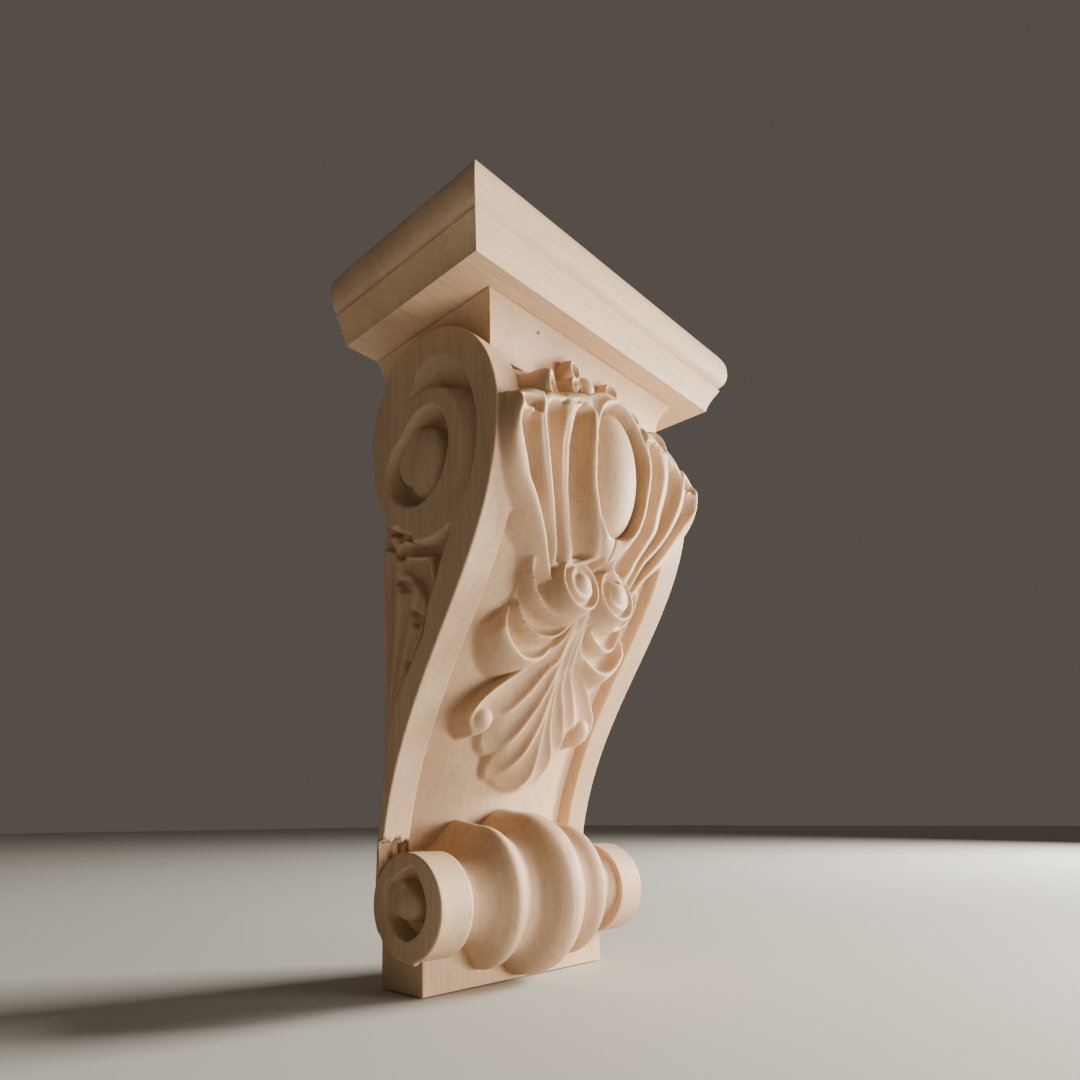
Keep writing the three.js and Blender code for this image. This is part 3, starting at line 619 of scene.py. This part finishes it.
# Cheeks' outer faces, carved in the body's own wood: the band of the S and the volutes stand 9 mm proud of a
# flat field, in which a leaf is carved behind the band. The big volute winds inward to a sunk eye with a
# rounded boss.
lower_centre, lower_radius = (30, 41), 24.5
side = Relief((-2, 0), (94, 308), 0.3)
side.wood[:] = -9.0
back_edge = np.array([(5.5, 20), (6, 38), (6, 53), (6.8, 67.9), (9.9, 86.6), (11.5, 101.5), (14.8, 118.2),
                      (20, 134.7), (32.6, 152.7), (40.5, 163.9), (43.9, 177), (48.1, 184.4), (51.5, 193.7),
                      (57.5, 204.5), (61, 214), (61, 225), (39, 240), (20, 262)])
on_band = side.a > np.interp(side.b, back_edge[:, 1], back_edge[:, 0])
in_foot = ((side.a - 44) / 44.5) ** 2 + ((side.b - 258) / 52) ** 2 < 1
in_top = (side.b > 255) & (((side.a - 39) / 39) ** 2 + ((side.b - 262) / 44) ** 2 < 1)
side.wood[(on_band & (side.b > lower_centre[1])) | in_foot | in_top] = 0.0
side.wood[(side.b > 262) & (side.a > 39)] = 0.0
side.wood[np.hypot(side.a - lower_centre[0], side.b - lower_centre[1]) < lower_radius + 1] = 0.0

# Leaf in the field
side_blades = [
    [(8, 118, -8.5), (19, 139, -4), (30, 156, -3), (39, 172, -2.6), (45, 188, -2.4), (43, 200, -2.6)],
    [(7, 118, -8.5), (15, 141, -4.5), (23, 160, -3.5), (29, 178, -3), (31, 192, -3), (29, 203, -3)],
    [(6, 118, -8.5), (10.5, 143, -5), (14.5, 164, -4), (17, 184, -3.5), (17, 198, -3.5), (15, 208, -3.5)],
    [(4, 118, -8.8), (3, 145, -7), (2.5, 165, -6), (2, 185, -6), (1.5, 214, -6)],
]
for one, other in zip(side_blades, side_blades[1:]):
    side.patch(one, other, fluted(0.34, 3.6, start=0.3, end=0.25))
side.patch([(8, 220, -3), (19, 215.4, -2.5), (31, 210, -2.5)],
           [(14.4, 208.2, -5), (20, 207, -5), (27, 208.4, -5)], lambda u, v, width: 0 * u * v)

# Cuts that part the leaf's lobes
cuts = [
    ([(19, 204), (37.6, 199.7), (42.1, 191.9), (45.6, 184.4), (41.3, 176.9), (40.6, 165), (38.4, 165),
      (36, 176), (33, 186), (27, 193), (19, 199)], (36, 189), -8.6),
    ([(28.8, 179.9), (33.4, 171), (33.5, 163.6), (31.8, 163.6), (30, 171), (26.8, 178)], (31, 172), -8),
    ([(22.3, 154.6), (28, 153), (24.1, 146.4)], (24.8, 151.5), -8.6),
    ([(14.5, 197), (20.5, 192.4), (26.9, 187.6), (26, 185.2), (20, 189.6), (14, 194.2)], (20.4, 191), -7.6),
    ([(26.6, 209), (14.4, 208.4), (19.2, 203.4)], (20, 207), -8.6),
    ([(8.3, 221), (20, 216.8), (31.2, 211), (31.2, 208.8), (20, 214), (8.3, 218.8)], (20, 215), -6.5),
]

# Big volute: a groove that deepens toward the inner coil, then the sunk eye
groove_edge = [(30.3, 280.5, 0), (36.3, 289.5, 0), (45, 292.1, 0), (53.4, 290.2, 0), (60.6, 285.9, 0),
               (66.5, 280, 0), (71.4, 270.5, 0), (75.2, 259, 0), (76.4, 250, 0), (75.8, 241.8, 0),
               (74.2, 233.1, 0), (71.4, 224.2, 0), (67.5, 216, 0)]
coil_edge = [(27.6, 275.8, 0), (32, 277.6, 0), (37.5, 278.8, 0), (44, 278.6, 0), (50.4, 276.6, 0),
             (56.5, 272.2, 0), (61.3, 266, 0), (64.6, 258.5, 0), (65.8, 250.6, 0), (65.4, 242.6, 0),
             (63.7, 233.2, 0), (61, 225, 0), (58, 218, 0)]


def groove(u, v, width):
    """Deepest beside the coil at the top, and beside the outer band farther around."""
    deepest = np.interp(v, [0, 0.28, 0.5, 1], [0.86, 0.86, 0.2, 0.2])
    fall = np.where(u < deepest, u / deepest, (1 - u) / (1 - deepest))
    return -8.0 * fall * ease(v / 0.22) * ease((1 - v) / 0.35)


side.patch(groove_edge, coil_edge, groove, keep=np.minimum)
hollow = [(24.3, 261), (29, 265.5), (36.5, 269.5), (45.2, 269.5), (51.5, 265.3), (56.6, 257.2),
          (57.7, 248.7), (55.7, 240.5), (52.2, 233.5), (46.5, 228.4), (38.5, 225.2), (28.2, 226.1),
          (17.8, 231.9), (13, 239.9), (13, 249.7), (17.5, 256.5)]


def sunk_eye(outline, centre, deepest):
    """A steep-walled hollow with a flat bottom."""
    wall = 0.16
    rim = [(a, b, 0) for a, b in outline + outline[:1]]
    core = [(0.9 * centre[0] + 0.1 * a, 0.9 * centre[1] + 0.1 * b, deepest) for a, b, _ in rim]

    def steep(u, v, width):
        return -deepest * (u - np.minimum(1, u / wall)) + 0 * v

    side.patch(rim, core, steep, keep=np.minimum)
    side.dome(centre, (3, 3), deepest + 0.1, 0, keep=np.minimum)


for outline, centre, deepest in cuts:
    sunk_eye(outline, centre, deepest)
sunk_eye(hollow, (36, 248), -11)
side.dome((29.5, 251), (13, 14), -5.5, 3.2, fullness=0.3)
side.dome((36.6, 246.3), (12.8, 17.4), -9.6, 8.6, fullness=0.26)

# Lower volute
small_hollow = [(34.4, 59.4), (38.7, 54.6), (42.2, 48.4), (43.9, 43.3), (43.1, 37), (39.8, 31.6),
                (34.7, 27.9), (29.5, 26.4), (23.2, 28.4), (17.7, 32.8), (14.3, 39.1), (13.8, 45.7),
                (14.6, 51.2), (19.2, 52.6), (27, 57)]
sunk_eye(small_hollow, (29, 43), -10.5)
side.dome((20, 44.6), (9.3, 8.8), -5, 3.1, fullness=0.3)
side.dome((24.8, 42.3), (10.8, 8.3), -9.2, 8.0, lean=-0.3, fullness=0.26)
side.soften(0.34)

# The cheeks' skins start a little behind the front skin's lap, and turn in toward the core at the wall
under_lap = 2.6
inner_rise = offset(rise_line[2:], under_lap)
inner_back = offset(arc((39, 262), (39, 44), 90, 180, 80), under_lap)
top_height, turn_in = 303.3, 0.97
left_foot_front, right_foot_front, behind_disc = 8.9, 12.5, -12.4


def cheek_place(way):
    def place(u, v):
        height = np.interp(v, [0, 0.93, 1], [6, 296, top_height])
        ahead_line = np.interp(height, inner_rise[:, 1], inner_rise[:, 0])
        ahead_line = np.where(height < 74, right_foot_front, ahead_line)
        ahead_line = np.where((height < torn_height) & (way < 0), left_foot_front, ahead_line)
        back_line = np.where(
            height < 262, 0.0, np.interp(height, inner_back[::-1, 1], np.maximum(inner_back[::-1, 0], 0.0))
        )
        back_line = np.minimum(back_line, ahead_line - 0.01)
        t = np.clip(u / turn_in, 0, 1)
        depth = ahead_line + (back_line - ahead_line) * t
        proud = side.at(depth, height)
        in_lower = np.hypot(depth - lower_centre[0], height - lower_centre[1]) < lower_radius - 0.4
        proud = np.where(in_lower, behind_disc, proud) - 0.02
        x = cheek_half + proud
        x = np.where(u > turn_in, x + (60 - x) * (u - turn_in) / (1 - turn_in), x)
        return metres(way * x, depth, height)
    return place


for way, word in ((-1, "left"), (1, "right")):
    cheek = sheet(f"{word}_cheek", 128, 400, cheek_place(way), (way, 0, 0))
    fitted(cheek, "body", upright_wood)


# Lower volutes: the round ends of the bolster, carved from the body's own wood like the big ones. Each is a
# disc with a thin rim edge, and the left one keeps the splinter that stands under its rim.
# Its rows run over the face, around a 1 mm arris, along the edge and back in behind the bolster's end.
face_share, arris_share, edge_share = 0.6, 0.72, 0.9
splinter_bearing = math.radians(281)


def disc_place(way):
    def place(u, v):
        angle = 2 * math.pi * u
        bend = np.radians(np.interp(v, [face_share, arris_share], [0, 90]))
        reach = np.interp(v, [0, face_share], [0, lower_radius - 1]) + np.sin(bend)
        reach = np.where(v > edge_share, np.interp(v, [edge_share, 1], [lower_radius, 17]), reach)
        if way < 0:
            splinter = 1.3 * np.exp(-(((angle - splinter_bearing) / 0.05) ** 2))
            reach = reach + splinter * ease((v - face_share) / 0.1) * (v < 0.74)
        depth = lower_centre[0] + reach * np.cos(angle)
        height = lower_centre[1] + reach * np.sin(angle)
        face = side.at(np.clip(depth, 0, 92), height) * (v < 0.58)
        x = cheek_half + face - (1 - np.cos(bend))
        x = np.where(v > arris_share, np.interp(v, [arris_share, edge_share], [cheek_half - 1, 54]), x)
        return metres(way * x, depth, height)
    return place


for way, word in ((-1, "left"), (1, "right")):
    disc = sheet(f"{word}_lower_volute", 240, 110, disc_place(way), (way, 0, 0))
    fitted(disc, "body", upright_wood)


# Bolster between the lower volutes, carved round in the body's own wood: a big ring in the middle, a smaller
# one on each side of it and a deep cove beside each volute. The rings' tops run back into the panel.
reach_forward = line([(-2, 38.6), (0, 38.6), (4, 37.9), (8, 35.3), (12, 30.6), (15, 27.4), (18, 26.6),
                      (22, 27.4), (26.5, 29.4), (30.5, 30), (33.5, 28.6), (37, 25), (41, 21.2), (46, 19),
                      (51, 19), (54, 20.2), (57, 20), (60, 18)], 300)
reach_upright = line([(-2, 41), (0, 41), (5, 40.4), (10, 37.6), (14, 33), (17.5, 30.4), (20, 30.2),
                      (23, 31.6), (27, 34), (30.5, 34.4), (33.5, 32), (37, 27), (41, 22), (46, 19),
                      (51, 19), (54, 20.2), (57, 20), (60, 18)], 300)
bolster_half, axis_depth, axis_height = 57.5, 31.5, 42.6


def bolster_place(u, v):
    x = (u - 0.5) * 2 * bolster_half
    forward, upright = (np.interp(np.abs(x), p[:, 0], p[:, 1]) for p in (reach_forward, reach_upright))
    angle = np.radians(np.interp(v, [0.1, 0.9], [-90, 90]))
    depth = axis_depth + forward * np.cos(angle)
    height = axis_height + upright * np.sin(angle)
    run = np.interp(v, [0, 0.1, 0.9, 1], [1, 0, 0, 1])
    depth = depth - 27.0 * run
    height = height + np.where(v > 0.5, 4.5 * run * ease((55 - np.abs(x)) / 5), 0)
    return metres(x, depth, height)


bolster = sheet("bolster", 240, 150, bolster_place, (0, -1, 0))
fitted(bolster, "body", upright_wood)


# Neck: the body's own top, planed square at the front and sides and flared by a cove under the cap board.
# A moulding's profile of (reach, height) runs along the left side, the front and the right side, and its top,
# its underside and its back are closed.
def moulding(name, profile, half, depth):
    flat_inset = -30
    profile = [(flat_inset, profile[0][1])] + list(profile) + [(flat_inset, profile[-1][1])]
    shape = bmesh.new()
    corners = bmesh.ops.create_grid(shape, x_segments=1, y_segments=1, size=1)["verts"]
    top = corners[0].link_faces[0]
    for step, (reach, height) in enumerate(profile):
        if step:
            grown = bmesh.ops.extrude_face_region(shape, geom=[top])["geom"]
            if step > 1:
                bmesh.ops.delete(shape, geom=[top], context="FACES_ONLY")
            top = next(part for part in grown if isinstance(part, bmesh.types.BMFace))
        for corner in top.verts:
            forward = depth + reach if corner.co.y < 0 else 0
            corner.co = metres(math.copysign(half + reach, corner.co.x), forward, height)
    bmesh.ops.recalc_face_normals(shape, faces=shape.faces)
    mesh = bpy.data.meshes.new(name)
    shape.to_mesh(mesh)
    shape.free()
    piece = bpy.data.objects.new(name, mesh)
    bpy.context.collection.objects.link(piece)
    return piece


def smooth_over(piece, degrees):
    piece.data.polygons.foreach_set("use_smooth", [True] * len(piece.data.polygons))
    piece.data.set_sharp_from_angle(angle=math.radians(degrees))


neck_cove = [(0, 286), (0, 294.5), (0.3, 297.5), (0.9, 300.5), (1.8, 303), (2.9, 305.2), (4, 306.9),
             (5, 308.2), (5.8, 309.2), (6.4, 309.95)]
neck = moulding("neck", neck_cove, 63.4, 76)
smooth_over(neck, 35)
fitted(neck, "body", upright_wood)

# Cap board: a board of its own with its grain across, glued on top of the neck. It is moulded on three sides
# with a cove, a small step and a round nose, and left flat at the back.
crosswise_wood = wood_material("crosswise grain wood", (0.045, 1.0, 1.0))
cap_cove = [(5.8 * t**1.35, 310.3 + 12.2 * t) for t in np.linspace(0, 1, 9)]
nose = line([(5.0, 323.5), (7.6, 326.4), (8.8, 329.8), (9.05, 333), (8.4, 337.8), (6.2, 342), (3, 345.6),
             (0, 347.4), (-3, 348)], 26)
cap = moulding("cap_board", cap_cove + [tuple(p) for p in nose], 88, 94)
smooth_over(cap, 30)
fitted(cap, "cap", crosswise_wood)
